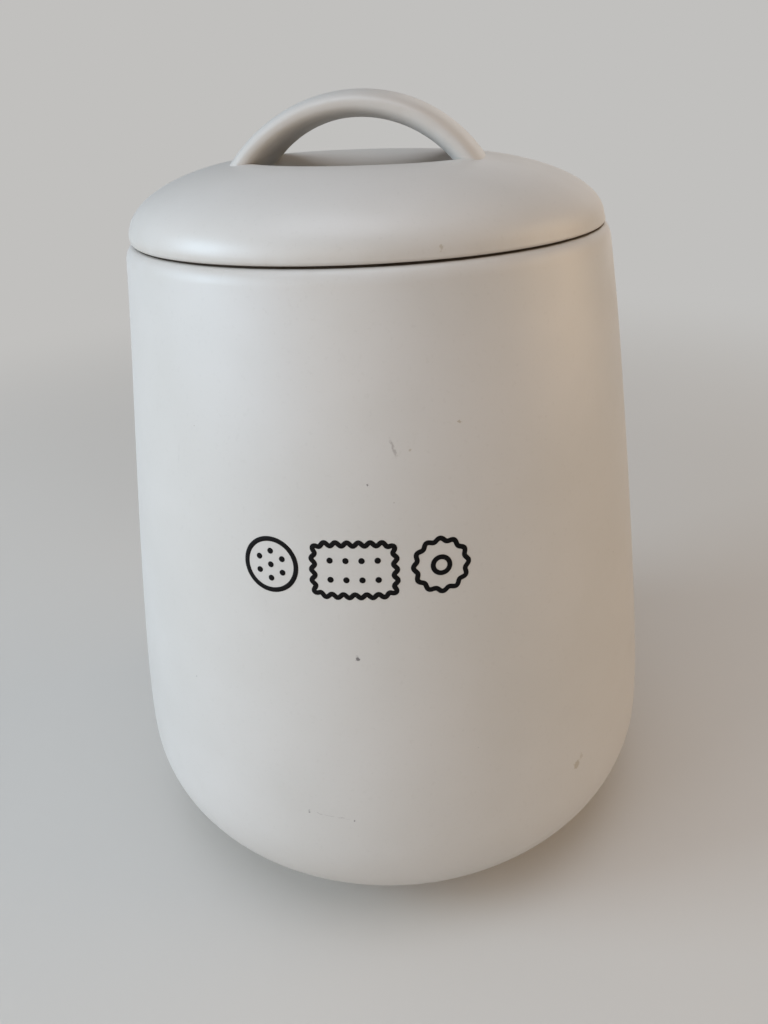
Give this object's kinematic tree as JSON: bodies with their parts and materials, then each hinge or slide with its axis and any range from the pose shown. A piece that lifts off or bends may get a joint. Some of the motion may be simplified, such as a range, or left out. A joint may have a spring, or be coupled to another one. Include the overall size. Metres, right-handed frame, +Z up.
{
  "type": "biscuit jar",
  "caption": "Tapered round biscuit jar in glazed stoneware, with a rounded base and a domed, dished lift-off lid that has a strap handle and a seal.",
  "frame": {"origin": "centre of the foot ring, in the plane of the surface that the jar stands on", "axes": "+Z up along the jar's axis, -Y towards the front that carries the print, +X to the viewer's right of the front; the handle runs along X"},
  "size_m": [0.16, 0.16, 0.2111],
  "materials": {
    "glaze": "satin",
    "silicone": "matte"
  },
  "bodies": {
    "jar": {"jar_body": "glaze"},
    "lid": {"lid": "glaze", "lid_handle": "glaze", "lid_seal": "silicone"}
  },
  "joints": [
    {"name": "lid_lift", "type": "slide", "parent": "jar", "child": "lid", "axis": [0, 0, 1], "range_m": [0, 0.06]}
  ]
}
